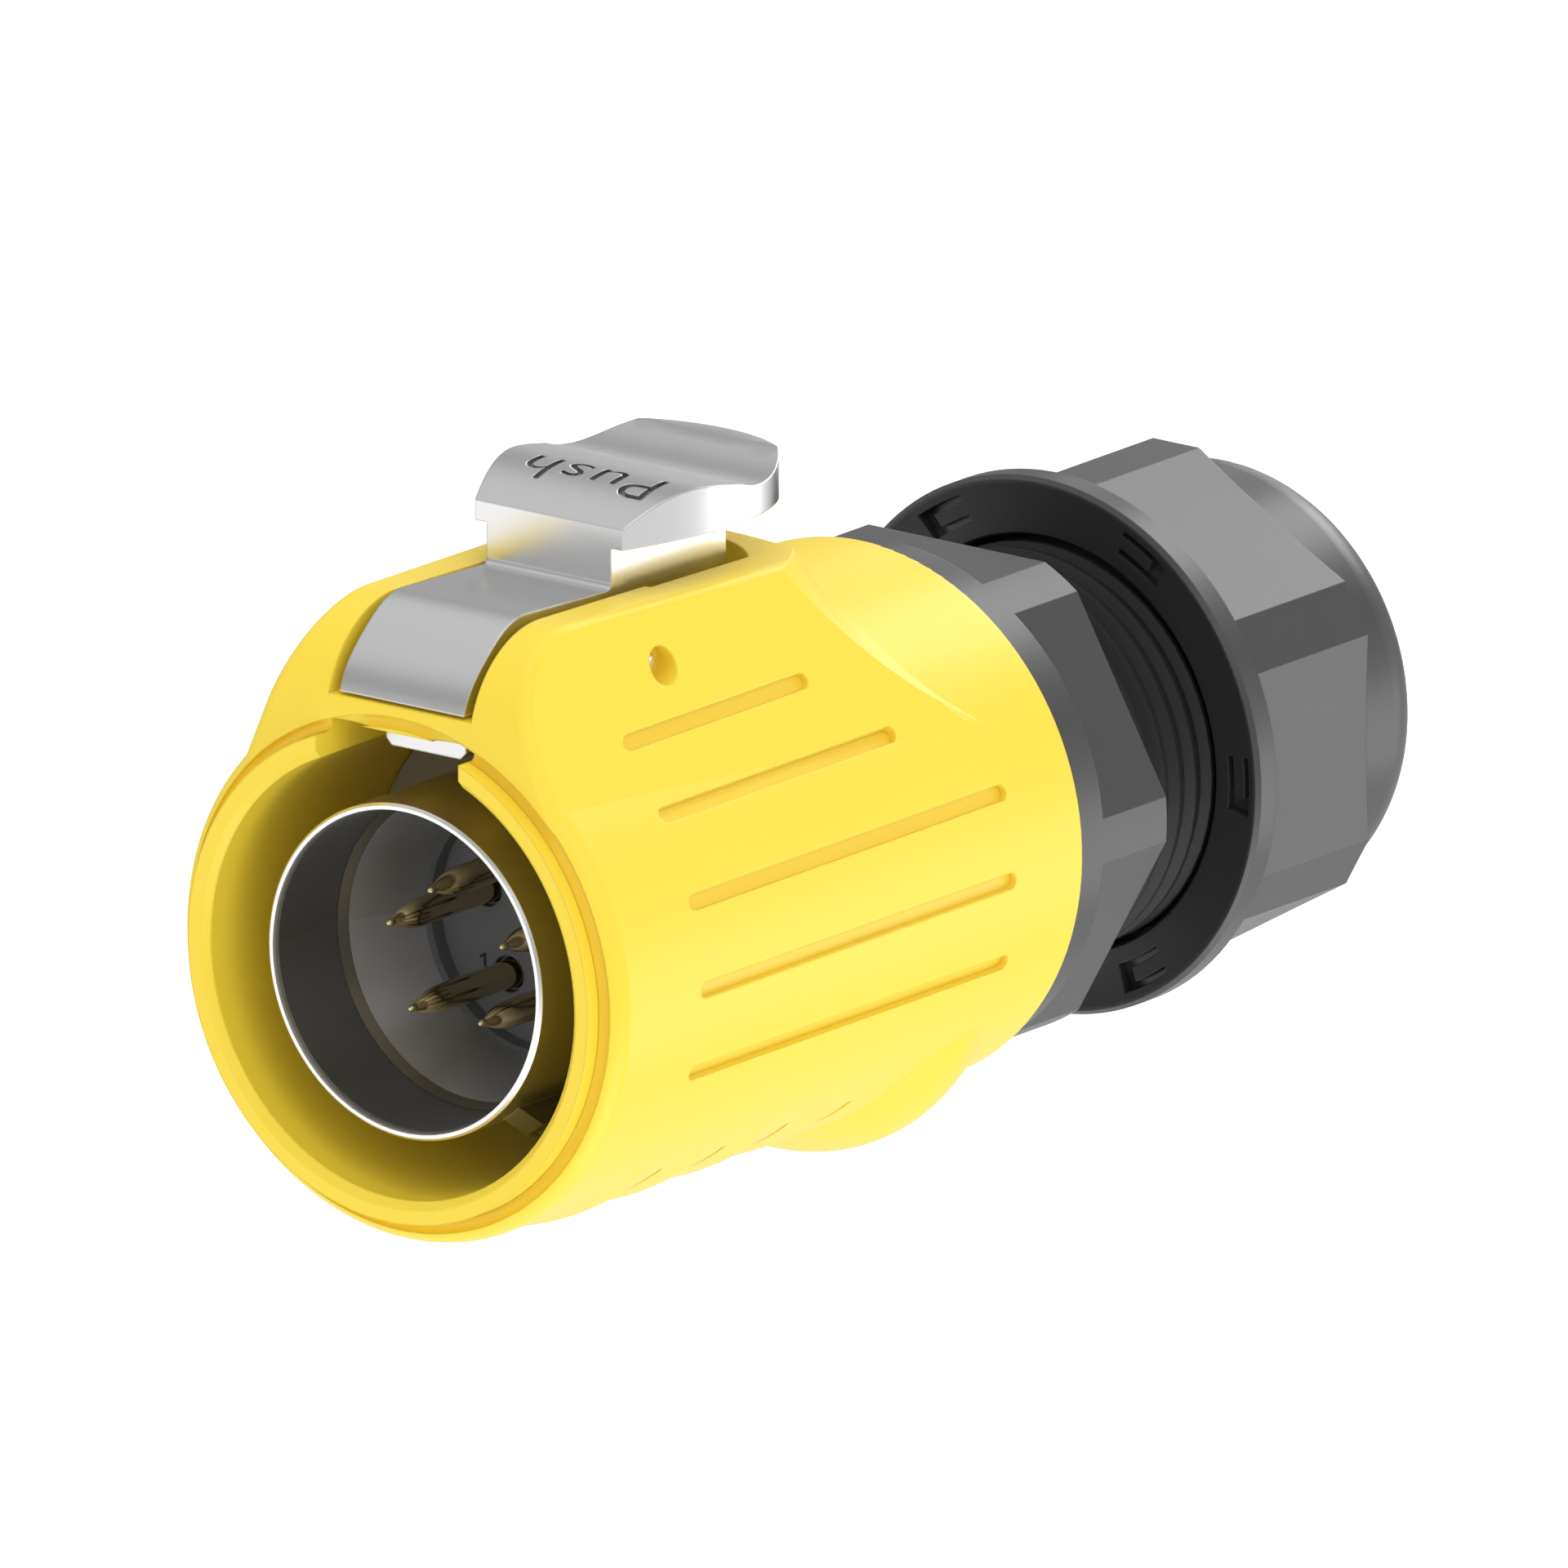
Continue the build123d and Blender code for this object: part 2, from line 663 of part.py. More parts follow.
def contact_pin(index):
    tip = contact_tip_x - (contact_long_by if index == 0 else 0)
    collar_start = insulator_split - contact_collar_w
    back = insulator_split + seat + rear_insulator_w + cup_reach
    ball = contact_ball_r
    taper = Spline((tip + 2 * ball, ball * 0.9), (tip + contact_taper * 0.45, contact_r * 0.78),
                   (tip + contact_taper, contact_r), tangents=[(1, 0.45), (1, 0)])
    cup = Polyline(
        (tip + contact_taper, contact_r), (collar_start, contact_r), (collar_start, contact_collar_r),
        (insulator_split, contact_collar_r), (insulator_split, cup_r), (back, cup_r), (back, cup_bore_r),
        (back - cup_depth, cup_bore_r), (back - cup_depth, 0), (tip, 0), (tip, ball * 0.4))
    outline = make_face([
        ThreePointArc((tip, ball * 0.4), (tip + ball, ball), (tip + 2 * ball, ball * 0.9)), taper, cup])
    y, z = contact_place(index)
    return Pos(0, y, z) * revolve(outline, Axis.X, 360)


def contact_insulator():
    start = sleeve_cone_end + sleeve_lip_w + seat
    body = turned([(start, sleeve_throat_r), (insulator_face, sleeve_throat_r), (insulator_face, 0),
                   (insulator_split, 0), (insulator_split, insulator_r), (start, insulator_r)])
    cuts = []
    for i in range(contact_count):
        y, z = contact_place(i)
        ring_floor = insulator_face + insulator_ring_depth
        cuts.append(Pos(0, y, z) * tube(insulator_face - over, insulator_split + over, contact_r + slip))
        cuts.append(Pos(0, y, z) * tube(insulator_face - over, ring_floor, insulator_ring_r))
        cuts.append(Pos(0, y, z) * tube(insulator_split - contact_collar_w - seat, insulator_split + over,
                                        contact_collar_r + slip))
    return body - cuts


def rear_insulator():
    start = insulator_split + seat
    body = tube(start, start + rear_insulator_w, insulator_r)
    cuts = []
    for i in range(contact_count):
        y, z = contact_place(i)
        cuts.append(Pos(0, y, z) * tube(start - over, start + rear_insulator_w + over, cup_r + slip))
    return body - cuts


def insulator_retainer():
    """A split spring ring that holds both insulators in the sleeve."""
    start = insulator_split + rear_insulator_w + 2 * seat
    ring = tube(start, start + retainer_w, insulator_r + slip - seat, insulator_r - retainer_t)
    return ring - slab(start - over, start + retainer_w + over, retainer_split / 2, -2 * insulator_r, 0)


def interface_seal():
    end = sleeve_flange_x - seat
    return tube(end - face_seal_w, end, ring_bore_r - slip, sleeve_r + slip)


def sleeve_nut():
    start = web_end + seat
    nut = tube(start, start + sleeve_nut_w, sleeve_flange_r, sleeve_r)
    notch = Pos(start + sleeve_nut_w, sleeve_flange_r, 0) * Box(
        sleeve_notch_w, 2 * sleeve_notch_depth, sleeve_notch_w)
    return nut - [Rot(360 / sleeve_nut_notches * i, 0, 0) * notch for i in range(sleeve_nut_notches)]


# Rear body and its rings

def rear_body():
    front = barrel_end + seat
    step_start = body_step_end - body_step_w
    body = turned([
        (spigot_front, body_bore_r), (step_start, body_bore_r), (step_start, body_step_r),
        (body_step_end, body_step_r), (body_step_end, body_bore_r), (tail_end, body_bore_r),
        (tail_end, tail_r - body_bevel), (tail_end - body_bevel, tail_r), (hex_end, tail_r),
        (hex_end, collar_r), (front, collar_r), (front, spigot_r), (spigot_front + body_bevel, spigot_r),
        (spigot_front, spigot_r - body_bevel)])
    outside = tube(collar_end, hex_end + over, 2 * collar_r, tail_r)
    return body - (outside - hexagon_bar(hex_r, collar_end, hex_end, 30))


def hexagon_bar(flat_r, start, end, turn):
    """A hexagonal bar round the X axis, a little longer than the flats it shapes."""
    section = RegularPolygon(flat_r, 6, major_radius=False, rotation=turn)
    return Pos(start - over, 0, 0) * Rot(0, 90, 0) * extrude(section, end - start + 2 * over)


def ring_on(x, radius, section):
    """An O-ring round the X axis."""
    return revolve(Pos(x, radius + section) * Circle(section), Axis.X, 360)


def body_o_ring():
    return ring_on(barrel_end - body_ring_r - seat, spigot_r + seat, body_ring_r)


def tail_o_ring():
    return ring_on(hex_end + tail_ring_r + seat, tail_r + seat, tail_ring_r)


# Cable clamp and tail nut

def clamp_cage():
    """The slotted cage whose fingers the tail nut squeezes on to the seal."""
    lip_end = cage_start + cage_lip_w
    body = turned([(cage_start, body_step_r), (lip_end, body_step_r), (lip_end, cage_r - cage_t),
                   (cage_end, cage_r - cage_t), (cage_end, cage_r - cage_bevel),
                   (cage_end - cage_bevel_w, cage_r), (cage_start, cage_r)])
    slit_start = cage_start + cage_base_w
    slit = slab(slit_start, cage_end + over, cage_slit / 2, 0, 2 * cage_r)
    return body - [Rot(360 / cage_fingers * (i + 0.5), 0, 0) * slit for i in range(cage_fingers)]


def cable_seal():
    start = cage_start + cage_lip_w + seat
    outer = cage_r - cage_t - slip
    return turned([
        (start, seal_bore_r + seal_bevel), (start + seal_bevel, seal_bore_r),
        (seal_end - seal_bevel, seal_bore_r), (seal_end, seal_bore_r + seal_bevel),
        (seal_end, outer - seal_edge), (seal_end - seal_edge, outer), (start, outer)])


def slip_washer():
    return tube(washer_x, washer_x + washer_w, washer_r, washer_bore_r)


def u_slots():
    """Cuts that free the spring tongues in the flange's front face."""
    cuts = []
    back = flange_front + tongue_depth
    front = flange_front - over
    ring = tube(front, back, tongue_outer_r, tongue_inner_r)
    tongue = tube(front - over, back + over, tongue_outer_r - tongue_gap, tongue_inner_r + tongue_gap)
    for i in range(tongue_count):
        centre = i * 360 / tongue_count
        side = -1 if cos(radians(centre)) > 0 else 1
        free = wedge(-side * tongue_span, side * (tongue_span / 2 - tongue_tip))
        cuts.append(around(centre, (ring & wedge(-tongue_span / 2, tongue_span / 2)) - (tongue & free)))
    return cuts


def wedge(angle_a, angle_b):
    """A pie slice round the near side, between two angles, along the whole connector."""
    low = min(angle_a, angle_b)
    high = max(angle_a, angle_b)
    reach = 3 * flange_r
    a = radians(low)
    b = radians(high)
    corners = [(0, 0), (-reach * cos(a), reach * sin(a)), (-reach * cos(b), reach * sin(b))]
    return extrude(Plane.YZ * make_face(Polyline(*corners, close=True)), 2 * dome_end, both=True)


def nut_profile():
    """The nut as a turned part, before its flats and slots are cut."""
    flange_end = flange_front + flange_w
    mouth = (flange_front + flange_dish, nut_bore_r + mouth_edge)
    rim = (flange_front, flange_r - flange_edge)
    dome_start = dome_end - dome_round
    blank_r = 2 * nut_corner_r - nut_flat_r
    inside = Polyline(
        mouth, (mouth[0] + mouth_edge, nut_bore_r), (nut_cone_start, nut_bore_r), (nut_cone_end, nut_cone_r),
        (dome_inside, nut_cone_r), (dome_inside, cable_bore_r), (dome_end, cable_bore_r),
        (dome_end, dome_r - dome_round))
    outside = Polyline(
        (dome_start, dome_r), (nut_hex_end - nut_hex_dish, dome_r), (nut_hex_end, blank_r),
        (flange_end, blank_r), (flange_end, flange_r), (flange_front + flange_edge, flange_r), rim)
    return make_face([
        inside, RadiusArc((dome_end, dome_r - dome_round), (dome_start, dome_r), -dome_round), outside,
        ThreePointArc(rim, (flange_front + flange_dish * 0.7, (flange_r + nut_bore_r) / 2), mouth)])


def tail_nut():
    flange_end = flange_front + flange_w
    body = revolve(nut_profile(), Axis.X, 360)
    outside = tube(flange_end, nut_hex_end + over / 2, 2 * nut_corner_r, dome_r)
    flats = hexagon_bar(nut_flat_r, flange_end, nut_hex_end, 0)
    corners = hexagon_bar(nut_corner_r, flange_end, nut_hex_end, 30)
    return body - [outside - (flats & corners), *u_slots()]


nodes = {
    "outer_housing": outer_housing,
    "release_latch": release_latch,
    "latch_pin": latch_pin,
    "latch_spring": latch_spring,
    "mating_sleeve": mating_sleeve,
    "interface_seal": interface_seal,
    "sleeve_nut": sleeve_nut,
    "contact_insulator": contact_insulator,
    "rear_insulator": rear_insulator,
    "insulator_retainer": insulator_retainer,
    "rear_body": rear_body,
    "body_o_ring": body_o_ring,
    "tail_o_ring": tail_o_ring,
    "clamp_cage": clamp_cage,
    "cable_seal": cable_seal,
    "slip_washer": slip_washer,
    "tail_nut": tail_nut,
}

os.makedirs("parts", exist_ok=True)
for name, make in nodes.items():
    export_step(make(), f"parts/{name}.step")
for index in range(contact_count):
    export_step(contact_pin(index), f"parts/contact_pin_{index + 1}.step")
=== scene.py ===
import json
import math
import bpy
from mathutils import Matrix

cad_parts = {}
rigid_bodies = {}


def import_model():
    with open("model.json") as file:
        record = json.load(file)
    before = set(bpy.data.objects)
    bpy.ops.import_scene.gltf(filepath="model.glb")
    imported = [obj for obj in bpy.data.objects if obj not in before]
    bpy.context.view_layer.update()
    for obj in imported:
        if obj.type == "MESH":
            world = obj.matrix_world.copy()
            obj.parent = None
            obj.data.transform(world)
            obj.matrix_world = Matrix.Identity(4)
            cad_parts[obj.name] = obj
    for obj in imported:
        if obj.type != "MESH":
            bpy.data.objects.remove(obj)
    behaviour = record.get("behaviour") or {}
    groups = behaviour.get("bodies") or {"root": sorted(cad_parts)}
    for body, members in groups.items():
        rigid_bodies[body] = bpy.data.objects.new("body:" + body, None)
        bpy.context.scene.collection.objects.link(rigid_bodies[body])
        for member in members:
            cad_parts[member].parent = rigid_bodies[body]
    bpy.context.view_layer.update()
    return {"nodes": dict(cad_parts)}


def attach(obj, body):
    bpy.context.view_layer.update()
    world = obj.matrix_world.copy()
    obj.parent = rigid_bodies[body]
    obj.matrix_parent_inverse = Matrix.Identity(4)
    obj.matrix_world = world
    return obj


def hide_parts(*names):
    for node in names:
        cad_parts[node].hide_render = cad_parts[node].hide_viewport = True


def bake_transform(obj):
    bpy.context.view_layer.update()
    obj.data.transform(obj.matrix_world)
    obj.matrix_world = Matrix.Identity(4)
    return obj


bl_info = {
    "name": "Push-latch cable connector",
    "version": (1, 0, 0),
    "blender": (4, 5, 0),
    "location": "3D View > Sidebar > Connector",
    "description": "Finishes, small details and studio for a waterproof push-latch cable plug",
    "category": "Object",
}

import bpy
from mathutils import Matrix, Vector

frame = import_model()

MM = 0.001

# The word in the pad: its middle, half its cutter's height, its letters' spacing and how much fatter they are
WORD_PLACE = (17.55 * MM, -0.2 * MM, 26.0 * MM)
WORD_REACH = 0.8 * MM
WORD_SPACING = 1.07
WORD_OUTSET = -0.02 * MM
# The contact number: its stem's middle on the carrier's face, its thickness, and its outline, one unit high
NUMBER_PLACE = (12.99 * MM, 4.26 * MM, -2.95 * MM)
NUMBER_THICKNESS = 0.03 * MM
FIGURE_ONE = ((-0.09, -0.5), (0.09, -0.5), (0.09, 0.5), (-0.05, 0.5), (-0.46, 0.20), (-0.40, 0.05), (-0.09, 0.26))
# The threads: steps in a turn, how far a ridge's foot is sunk in its wall, and the feet's widths in pitches
THREAD_STEPS = 48
THREAD_FOOT = 0.05 * MM
TAIL_RIDGE = 0.8
NUT_RIDGE = 0.6
# The nut's thread: where it starts, its wall's radius and its height, less than nothing because it is inwards
NUT_THREAD_START = 61.6 * MM
NUT_THREAD_RADIUS = 12.3 * MM
NUT_THREAD_HEIGHT = -0.16 * MM
# How near to each other the corners are that get joined, in a CAD piece's copy and in the letters
PIECE_MERGE = 0.0005 * MM
LETTER_MERGE = 0.0002 * MM

# Parts of a finish that look different, most of them painted light and shade: start and end along the connector and
# radius in mm, then the colour,
# None being the finish's own, and the roughness. A later row covers an earlier one
SLEEVE_GLOSS_AND_PAINTED_LIGHT = (
    # The coding rib, painted a dark olive grey as painted shade, then the tube under it
    (0.2, 16.0, 13.0, (0.22, 0.21, 0.17, 1.0), 0.45),
    (0.2, 16.0, 10.04, None, 0.32),
    # The front rim, painted near white as a painted highlight
    (-1.0, 0.2, 11.0, (0.97, 0.97, 0.96, 1.0), 0.3),
    # Painted shade on the step inside, and painted light on the paler cone behind it
    (5.85, 6.5, 9.55, (0.16, 0.14, 0.11, 1.0), 0.45),
    (6.5, 12.1, 9.3, (0.74, 0.74, 0.76, 1.0), 0.38),
)
REAR_PAINTED_SHADE = (
    # Painted shade: the gap behind the hex with the face of the nut's flange, then the tail and the nut's mouth
    # painted near black
    (51.74, 60.4, 15.5, (0.020, 0.020, 0.020, 1.0), 0.5),
    (51.74, 70.0, 12.45, (0.003, 0.003, 0.003, 1.0), 0.62),
)

# The world's even light on the object, and what gloss and metal see all round
GLOW = 0.88
MIRROR = 0.35
# How much the camera sees the floor whiter than its shade, and the floor's width
FLOOR_WHITE = 0.6
FLOOR_WIDTH = 6.0
# What gloss and metal see toward one side: direction, where it starts and is full (cosines), brightness
CARDS = (
    ((0.756, -0.593, -0.277), 0.80, 0.95, 0.65),
    ((-0.05, 0.60, 0.80), 0.75, 0.97, 0.25),
    ((0.756, -0.05, 0.65), 0.80, 0.97, 0.20),
    ((-0.756, 0.593, -0.277), 0.80, 0.95, 0.25),
)
# The lamps: name, direction from the plug, distance, width and power
LAMPS = (
    ("key", (-0.35, -0.70, 0.62), 0.85, 0.5, 0.90),
    ("top", (0.05, 0.0, 1.0), 0.75, 0.5, 0.80),
    ("rear top", (0.86, 0.0, 0.50), 0.75, 0.3, 1.50),
    ("rear side", (0.756, -0.593, -0.277), 0.75, 0.35, 0.65),
    ("low", (-0.20, -0.60, -0.78), 0.50, 0.4, 0.95),
    ("front", (-0.756, 0.593, -0.277), 0.75, 0.35, 0.16),
    ("straight front", (-1.0, -0.10, 0.10), 0.75, 0.4, 0.45),
    ("rear far", (0.90, 0.35, 0.30), 0.75, 0.35, 0.45),
)


# Properties that a user would change

class ConnectorColours(bpy.types.PropertyGroup):
    housing: bpy.props.FloatVectorProperty(
        name="Housing", description="Yellow of the moulded housing", subtype="COLOR", size=4,
        default=(0.93, 0.69, 0.05, 1.0), min=0.0, max=1.0)
    body: bpy.props.FloatVectorProperty(
        name="Rear body", description="Dark grey of the rear body and the nut", subtype="COLOR", size=4,
        default=(0.046, 0.046, 0.046, 1.0), min=0.0, max=1.0)
    latch: bpy.props.FloatVectorProperty(
        name="Latch", description="Bright metal of the latch", subtype="COLOR", size=4,
        default=(0.83, 0.83, 0.83, 1.0), min=0.0, max=1.0)
    sleeve: bpy.props.FloatVectorProperty(
        name="Sleeve", description="Nickel of the mating sleeve", subtype="COLOR", size=4,
        default=(0.54, 0.53, 0.50, 1.0), min=0.0, max=1.0)
    contact: bpy.props.FloatVectorProperty(
        name="Contacts", description="Gold plate of the contacts", subtype="COLOR", size=4,
        default=(0.58, 0.48, 0.26, 1.0), min=0.0, max=1.0)
    insulator: bpy.props.FloatVectorProperty(
        name="Insulator", description="Black of the contact carrier", subtype="COLOR", size=4,
        default=(0.12, 0.12, 0.122, 1.0), min=0.0, max=1.0)
    rubber: bpy.props.FloatVectorProperty(
        name="Seals", description="Black of the rubber seals", subtype="COLOR", size=4,
        default=(0.018, 0.018, 0.018, 1.0), min=0.0, max=1.0)
    face_seal: bpy.props.FloatVectorProperty(
        name="Face seal", description="Warm grey of the seal behind the sleeve", subtype="COLOR", size=4,
        default=(0.28, 0.25, 0.18, 1.0), min=0.0, max=1.0)


class ConnectorSizes(bpy.types.PropertyGroup):
    thread_pitch: bpy.props.FloatProperty(
        name="Thread pitch", description="How far the nut moves in one turn", default=1.5 * MM, unit="LENGTH")
    thread_start: bpy.props.FloatProperty(
        name="Thread start", description="Where the tail's thread starts", default=53.9 * MM, unit="LENGTH")
    thread_turns: bpy.props.IntProperty(
        name="Thread turns", description="Turns of each thread", default=6, min=1)
    tail_radius: bpy.props.FloatProperty(
        name="Tail radius", description="Radius of the tail under its thread", default=11.5 * MM, unit="LENGTH")
    thread_height: bpy.props.FloatProperty(
        name="Thread height", description="Height of the tail's thread", default=0.5 * MM, unit="LENGTH")
    word: bpy.props.StringProperty(
        name="Word", description="What the push pad says", default="Push")
    word_size: bpy.props.FloatProperty(
        name="Word size", description="Size of the pad's letters", default=4.05 * MM, unit="LENGTH")
    word_stretch: bpy.props.FloatProperty(
        name="Word stretch", description="How wide the pad's letters are, 1 being the font's own", default=1.25)
    word_depth: bpy.props.FloatProperty(
        name="Word depth", description="How deep the pad's letters are", default=0.26 * MM, unit="LENGTH")
    number_size: bpy.props.FloatProperty(
        name="Number size", description="Height of the contact number", default=0.83 * MM, unit="LENGTH")
    spring_wire: bpy.props.FloatProperty(
        name="Spring wire", description="Length of each end of the spring that stays whole", default=0.5 * MM,
        unit="LENGTH")


class ConnectorStudio(bpy.types.PropertyGroup):
    view_right: bpy.props.FloatVectorProperty(
        name="Right", description="The picture's right, in the connector's frame", size=3,
        default=(0.61600, -0.78772, -0.00339))
    view_up: bpy.props.FloatVectorProperty(
        name="Up", description="The picture's up, in the connector's frame", size=3,
        default=(0.22005, 0.16791, 0.96094))
    aim: bpy.props.FloatVectorProperty(
        name="Aim", description="The point in the middle of the picture", size=3,
        default=(0.03754, 0.00159, 0.00241), subtype="TRANSLATION", unit="LENGTH")
    distance: bpy.props.FloatProperty(
        name="Distance", description="From the camera to the aim", default=1.0, unit="LENGTH")
    field: bpy.props.FloatProperty(
        name="Field", description="Width of the picture at the aim", default=0.090277, unit="LENGTH")
    floor_drop: bpy.props.FloatProperty(
        name="Floor drop", description="How far under the plug the floor is", default=0.55, unit="LENGTH")


# Mesh helpers

def activate(obj):
    bpy.ops.object.select_all(action="DESELECT")
    obj.select_set(True)
    bpy.context.view_layer.objects.active = obj


def apply_modifier(obj, kind, **values):
    activate(obj)
    modifier = obj.modifiers.new(kind.lower(), kind)
    for key, value in values.items():
        setattr(modifier, key, value)
    bpy.ops.object.modifier_apply(modifier=modifier.name)


def edit(obj, *steps):
    """Runs edit-mode steps on the whole mesh; each is an operator and its values."""
    activate(obj)
    bpy.ops.object.mode_set(mode="EDIT")
    for operator, values in steps:
        bpy.ops.mesh.select_all(action="SELECT")
        operator(**values)
    bpy.ops.object.mode_set(mode="OBJECT")


def smooth(obj, angle=28.0):
    """Shades a piece smooth, apart from edges sharper than an angle in degrees."""
    activate(obj)
    bpy.ops.object.shade_smooth_by_angle(angle=math.radians(angle))


def take_away(obj, tool):
    """Cuts one mesh with another and deletes the second. The cut faces keep the second's finish."""
    apply_modifier(obj, "BOOLEAN", operation="DIFFERENCE", solver="EXACT", material_mode="TRANSFER", object=tool)
    activate(tool)
    bpy.ops.object.delete()


def merged_copy(node, name):
    """A copy of a CAD piece with its loose triangles joined, to be worked on."""
    activate(frame["nodes"][node])
    bpy.ops.object.duplicate()
    obj = bpy.context.object
    obj.name = name
    bpy.ops.object.parent_clear(type="CLEAR_KEEP_TRANSFORM")
    bpy.ops.mesh.customdata_custom_splitnormals_clear()
    edit(obj, (bpy.ops.mesh.remove_doubles, {"threshold": PIECE_MERGE}))
    return obj


def flat_outline(name, points, fill):
    """A flat mesh with one corner for each point, as a circle that is then shaped; the points are in metres."""
    bpy.ops.object.select_all(action="DESELECT")
    bpy.ops.mesh.primitive_circle_add(vertices=len(points), radius=1.0, fill_type=fill, location=(0, 0, 0))
    obj = bpy.context.object
    obj.name = name
    for vertex, point in zip(obj.data.vertices, points):
        vertex.co = point
    return obj


def pad_word(sizes):
    """The pad's word as closed letters that stand through the pad's top."""
    bpy.ops.object.select_all(action="DESELECT")
    bpy.ops.object.text_add()
    obj = bpy.context.object
    obj.name = "push_word"
    obj.data.body = sizes.word
    obj.data.size = sizes.word_size
    obj.data.extrude = WORD_REACH
    obj.data.resolution_u = 6
    obj.data.space_character = WORD_SPACING
    obj.data.offset = WORD_OUTSET
    obj.data.align_x = "CENTER"
    obj.data.align_y = "CENTER"
    bpy.ops.object.convert(target="MESH")
    obj.scale.x = sizes.word_stretch
    obj.rotation_euler = (0.0, 0.0, math.radians(90.0))
    obj.location = WORD_PLACE
    bpy.ops.object.transform_apply(location=True, rotation=True, scale=True)
    edit(obj, (bpy.ops.mesh.remove_doubles, {"threshold": LETTER_MERGE}))
    return obj


def figure_one(name, place, height):
    """A raised figure 1 that faces the mating end: its stem's middle at a place."""
    x, y, z = place
    obj = flat_outline(name, [(x, y - across * height, z + up * height) for across, up in FIGURE_ONE], "NGON")
    edit(obj, (bpy.ops.mesh.extrude_region_move, {"TRANSFORM_OT_translate": {"value": (-NUMBER_THICKNESS, 0, 0)}}),
         (bpy.ops.mesh.normals_make_consistent, {"inside": False}))
    return obj


def thread_ridge(name, start, radius, height, pitch, turns, width):
    """A helical ridge round the connector's axis, closed at both ends and a quarter as wide at its crest."""
    foot = radius - math.copysign(THREAD_FOOT, height)
    crest = radius + height
    section = ((-width / 2, foot), (-width / 8, crest), (width / 8, crest), (width / 2, foot))
    obj = flat_outline(name, [(start + along, 0.0, out) for along, out in section], "NOTHING")
    apply_modifier(obj, "SCREW", axis="X", angle=2 * math.pi * turns, screw_offset=pitch * turns,
                   steps=THREAD_STEPS * turns, render_steps=THREAD_STEPS * turns, use_merge_vertices=False)
    edit(obj, (bpy.ops.mesh.fill_holes, {"sides": 4}), (bpy.ops.mesh.normals_make_consistent, {"inside": False}))
    smooth(obj, 40.0)
    return obj


# Materials

# Where a Mix node keeps its two inputs and its result for each kind of data
MIX_SOCKETS = {"FLOAT": (2, 3, 0), "RGBA": (6, 7, 2)}


def grey(level):
    return (level, level, level, 1.0)


def add_node(tree, kind, *inputs, **values):
    """Adds a node. Its settings and inputs are given by name, or an input as its number and its value."""
    made = tree.nodes.new(kind)
    for key, value in values.items():
        if key in made.inputs:
            made.inputs[key].default_value = value
        else:
            setattr(made, key, value)
    for number, value in inputs:
        made.inputs[number].default_value = value
    return made


class Shader:
    """A material's nodes, with short calls to add and join them."""

    def __init__(self, name):
        self.material = bpy.data.materials.new(name)
        self.material.use_nodes = True
        self.tree = self.material.node_tree
        self.surface = self.tree.nodes["Principled BSDF"]

    def node(self, kind, *inputs, **values):
        return add_node(self.tree, kind, *inputs, **values)

    def join(self, source, target):
        self.tree.links.new(source, target)

    def set(self, **values):
        for key, value in values.items():
            self.surface.inputs[key.replace("_", " ")].default_value = value

    def zone(self, start, end, radius):
        """A mask that is 1 from one place along the connector to another, inside a radius."""
        place = self.node("ShaderNodeTexCoord")
        axis = self.node("ShaderNodeSeparateXYZ")
        across = self.node("ShaderNodeVectorMath", (1, (0.0, 1.0, 1.0)), operation="MULTIPLY")
        reach = self.node("ShaderNodeVectorMath", operation="LENGTH")
        self.join(place.outputs["Object"], axis.inputs[0])
        self.join(place.outputs["Object"], across.inputs[0])
        self.join(across.outputs[0], reach.inputs[0])
        along, out = axis.outputs["X"], reach.outputs["Value"]
        mask = None
        for source, kind, limit in (
                (along, "GREATER_THAN", start), (along, "LESS_THAN", end), (out, "LESS_THAN", radius)):
            test = self.node("ShaderNodeMath", (1, limit), operation=kind)
            self.join(source, test.inputs[0])
            if mask:
                both = self.node("ShaderNodeMath", operation="MULTIPLY")
                self.join(mask, both.inputs[0])
                self.join(test.outputs[0], both.inputs[1])
                test = both
            mask = test.outputs[0]
        return mask

    def change(self, mask, colour, roughness):
        """Puts another colour and roughness over the finish where a mask is 1."""
        for name, kind, value in (("Base Color", "RGBA", colour), ("Roughness", "FLOAT", roughness)):
            under = self.surface.inputs[name].links[0].from_socket
            first, second, result = MIX_SOCKETS[kind]
            mix = self.node("ShaderNodeMix", (second, value), data_type=kind)
            self.join(mask, mix.inputs[0])
            self.join(under, mix.inputs[first])
            self.join(mix.outputs[result], self.surface.inputs[name])

    def change_zones(self, rows, own_colour):
        for start, end, radius, colour, roughness in rows:
            self.change(self.zone(start * MM, end * MM, radius * MM), colour or own_colour, roughness)


